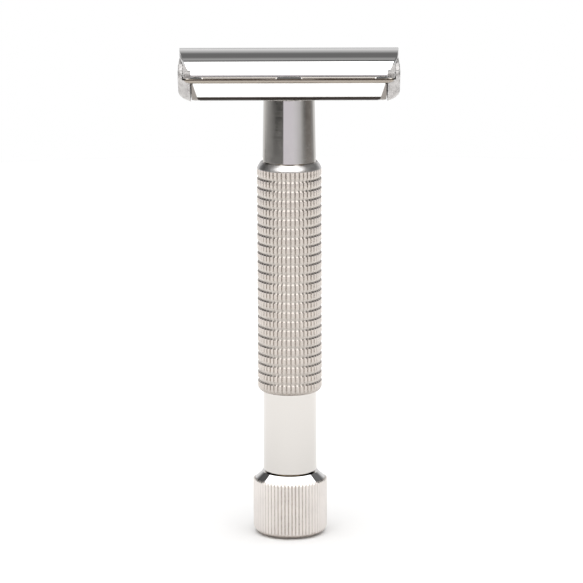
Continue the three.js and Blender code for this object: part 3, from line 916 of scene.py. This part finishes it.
right_cap = end_cap()
left_cap = half_turned(right_cap, "left_end_cap_shell")
finish_piece(right_cap, "head_carrier", "right_end_cap", "cap")
finish_piece(left_cap, "head_carrier", "left_end_cap", "cap")

crossbar = rounded_edges(from_frame("crossbar_bridge", "crossbar"), 0.06)
finish_piece(crossbar, "head_carrier", "crossbar", "polished")


def blade():
    """A bowed strip with ground edges, its slot and locating holes."""
    thick, half, edge_half, slot_half = 0.1, 21.45, 18.65, 17.2
    grind_from, grind_to, edge_z = 10.2, 10.78, 96.87
    section = [
        *crown(BLADE_BOW, BLADE_CENTRE, -grind_from, grind_from, 40),
        (grind_to, edge_z),
        *crown(BLADE_BOW - thick, BLADE_CENTRE, grind_from + 0.2, -grind_from - 0.2, 40),
        (-grind_to, edge_z),
    ]
    strip = swept("razor_blade_strip", section, lambda y, z: half)
    quarter = [(half, 5.5), (half - 1, 6.5), (edge_half + 0.7, 6.5), (edge_half, 7.2), (edge_half, 12)]
    upper = [*quarter, *mirrored(quarter)]
    plan = [*upper, *[(x, -y) for x, y in reversed(upper)]]
    below, above = 95, 101
    combine(strip, [prism("plan", plan, "Z", below, above)], "INTERSECT", smooth=8)

    def upright(name, outline):
        return prism(name, outline, "Z", below, above)

    cuts = [upright("slot", rectangle(-slot_half, -0.7, slot_half, 0.7))]
    for x, radius in ((0, 1.85), (-11.2, 1.4), (11.2, 1.4)):
        cuts.append(upright("hole", circle(x, 0, radius, 60)))
    for x in (-slot_half, slot_half):
        cuts.append(upright("end", rectangle(x - 0.6, -1.6, x + 0.6, 1.6)))
    return combine(strip, cuts, "DIFFERENCE", smooth=8)


finish_piece(blade(), "head_carrier", "razor_blade", "blade")


def hinge_pin(name, side, y):
    """A plain pin with domed ends."""
    low, high, radius, dome = 19.85, 22.2, 0.35, 0.12
    angles = full_turn(32)
    stations = [(low, 0.0)]
    for t in np.linspace(0, math.pi / 2, 5):
        stations.append((low + dome * (1 - math.cos(t)), radius - dome + dome * math.sin(t)))
    stations += [(high - (x - low), r) for x, r in reversed(stations)]
    rows = []
    for x, r in stations:
        around = angles if r else [0.0]
        rows.append([(side * x, y + r * math.cos(a), HINGE_Z + r * math.sin(a)) for a in around])
    return mesh_object(name, *loft(rows, closed_rows=False))


for end, side in (("left", -1), ("right", 1)):
    for face, out in (("front", -HINGE_OUT), ("rear", HINGE_OUT)):
        node = f"{face}_{end}_hinge_pin"
        finish_piece(hinge_pin(node + "_rod", side, out), "head_carrier", node, "pin")

# ---------- grip ----------

SLEEVE_BORE, SLEEVE_BOTTOM, SLEEVE_TOP = 5.62, 30.4, 78.3
GRIP_CREST, GRIP_VALLEY = 6.63, 6.38
COLUMNS, RING_GROOVES = 45, 23
FIRST_GROOVE = 75.25
SLEEVE_LAST, SLEEVE_EDGE = 76.2, 76.92  # a level in the highest ring of bricks, and that ring's end
# A brick's height across one column, by share of its pitch, and up one ring groove, in millimetres from
# the groove's level.
COLUMN_SHAPE = [
    (0, 0), (0.07, 0), (0.16, 0.7), (0.26, 0.93), (0.5, 1), (0.74, 0.93), (0.84, 0.7), (0.93, 0),
]
RING_SHAPE = [(-0.40, 1), (-0.05, 0.1), (0.02, 0.1), (0.36, 0.84), (0.46, 1)]


def grip_sleeve():
    """The knurled sleeve: every column of bricks and every ring groove between two turned collars."""
    angles, across = [], []
    for column in range(COLUMNS):
        for share, height in COLUMN_SHAPE:
            angles.append(2 * math.pi * (column + share) / COLUMNS)
            across.append(height)
    across = np.array(across)
    count = len(angles)

    def level(r, z, height=1.0):
        field = GRIP_VALLEY + (GRIP_CREST - GRIP_VALLEY) * np.minimum(across, height)
        return ring_row(np.minimum(field, r), [z] * count, angles)

    lower_collar = (
        (SLEEVE_BORE, SLEEVE_BOTTOM), (5.85, SLEEVE_BOTTOM), (6.02, 30.46), (6.2, 30.58), (6.35, 30.75),
        (6.46, 30.95), (6.56, 31.15), (GRIP_CREST, 31.35),
    )
    upper_collar = (
        (GRIP_CREST, 77.0), (6.55, 77.22), (6.42, 77.48), (6.25, 77.76), (6.05, 78.04), (5.85, SLEEVE_TOP),
        (SLEEVE_BORE, SLEEVE_TOP),
    )
    rows = [level(r, z) for r, z in lower_collar]
    for k in reversed(range(RING_GROOVES)):
        middle = FIRST_GROOVE - GROOVE_PITCH * k
        rows += [level(GRIP_CREST, middle + offset, height) for offset, height in RING_SHAPE]
        rows.append(level(GRIP_CREST, middle + GROOVE_PITCH / 2 if k else SLEEVE_LAST))
    rows.append(level(GRIP_CREST, SLEEVE_EDGE))
    rows += [ring_row([r] * count, [z] * count, angles) for r, z in upper_collar]
    return mesh_object("grip_sleeve_knurled", *loft(rows), smooth=29)


finish_piece(grip_sleeve(), "handle", "grip_sleeve", "grip")

# ---------- handle tube, washer and ferrule ----------

tube_outline = [
    (3.85, 13.3), (5.29, 13.3), (5.54, 13.55), (5.54, 78.3), (5.44, 78.5), (5.19, 91.55),
    (4.0, 91.55), (4.0, 82.5), (4.6, 81.9), (4.6, 23.2), (3.85, 23.2),
]
tube = revolved("handle_tube_turned", eased(tube_outline, 0.08))
finish_piece(tube, "handle", "handle_tube", "satin")

washer = revolved("tray_washer_ring", eased(rectangle(4.0, 91.63, 5.45, 92.07), 0.12))
finish_piece(washer, "handle", "tray_washer", "polished")

ferrule_outline = [(1.7, 84), (3.9, 84), (3.9, 93.35), (5.2, 93.35), (5.2, 94.15), (1.7, 94.15)]
ferrule = revolved("tray_ferrule_turned", eased(ferrule_outline, 0.12), 96)
finish_piece(ferrule, "handle", "tray_ferrule", "brass")

# ---------- knob ----------

KNOB_RADIUS, FLUTE_DEPTH, FLUTES = 7.65, 0.30, 62
# A flute's height across its pitch, by share.
FLUTE_SHAPE = [(0, 0), (0.07, 0.1), (0.36, 0.9), (0.43, 1), (0.57, 1), (0.64, 0.9), (0.93, 0.1)]
CHAMFER_FROM, CHAMFER_TOP, CHAMFER_IN = 11.45, 13.1, 5.75


def twist_knob():
    """The knob: its flutes run out into the chamfer above and the rounded edge below."""
    angles, field = [], []
    for flute in range(FLUTES):
        for share, height in FLUTE_SHAPE:
            angles.append(2 * math.pi * (flute + share) / FLUTES)
            field.append(KNOB_RADIUS - FLUTE_DEPTH * (1 - height))
    field = np.array(field)
    count = len(angles)

    def level(r, z):
        return ring_row(np.minimum(field, r), [z] * count, angles)

    slope = (CHAMFER_TOP - CHAMFER_FROM) / (KNOB_RADIUS - CHAMFER_IN)
    run_out = CHAMFER_FROM + (KNOB_RADIUS - field) * slope
    lower_edge = (
        (5.02, 0), (5.7, 0), (6.3, 0.1), (6.75, 0.3), (7.12, 0.56), (7.3, 0.75), (7.42, 0.9), (7.52, 1.08),
        (7.6, 1.28), (KNOB_RADIUS, 1.5),
    )
    cavity = ((3.95, CHAMFER_TOP), (3.95, 11.9), (4.75, 11.9), (4.75, 1.6), (5.02, 1.6))
    rows = [level(r, z) for r, z in (*lower_edge, (KNOB_RADIUS, 6.4))]
    rows.append(ring_row(field, run_out, angles))
    for share in (0.5, 0.97, 1.0):
        r = CHAMFER_IN + (field - CHAMFER_IN) * (1 - share)
        z = run_out + (CHAMFER_TOP - run_out) * share
        rows.append(ring_row(r, z, angles))
    rows += [level(r, z) for r, z in cavity]
    return mesh_object("twist_knob_fluted", *loft(rows))


finish_piece(twist_knob(), "knob", "twist_knob", "knob")

plug = revolved("knob_end_plug_turned", eased(rectangle(0, 0, 4.95, 1.5), 0.12))
finish_piece(plug, "knob", "knob_end_plug", "polished")

nut_outline = [
    (2.05, 7), (4.6, 7), (4.6, 11.8), (3.75, 11.8), (3.75, 24.7), (3.1, 24.7), (3.1, 25.5), (3.75, 25.5),
    (3.75, 27), (2.05, 27),
]
nut = revolved("drive_nut_turned", eased(nut_outline, 0.1), 96)
finish_piece(nut, "knob", "drive_nut", "brass")

spring_outline = [(3.8, 23.6), (4.5, 23.3), (4.5, 23.6), (3.8, 23.9)]
spring = revolved("spring_washer_dished", eased(spring_outline, 0.05), 96)
finish_piece(spring, "knob", "spring_washer", "steel")

thrust = revolved("thrust_washer_ring", eased(rectangle(3.8, 24.05, 4.5, 24.55), 0.06), 96)
finish_piece(thrust, "knob", "thrust_washer", "brass")

clip = rounded_edges(from_frame("retaining_ring_clip", "retaining_ring"), 0.06)
finish_piece(clip, "knob", "retaining_ring", "steel")

# ---------- spindle ----------

spindle_outline = [
    (0, 9), (1.55, 9), (1.95, 9.4), (1.95, 31), (1.6, 31.4), (1.6, 95.9), (2.6, 95.9), (2.6, 97.25),
    (0.9, 97.25), (0.9, 99.55), (0, 99.55),
]
spindle = revolved("spindle_turned", eased(spindle_outline, 0.1), 64)
finish_piece(spindle, "head_carrier", "spindle", "steel")

spindle_nut = revolved("spindle_nut_turned", eased(rectangle(0.96, 98.8, 1.5, 99.45), 0.1), 64)
finish_piece(spindle_nut, "head_carrier", "spindle_nut", "brass")
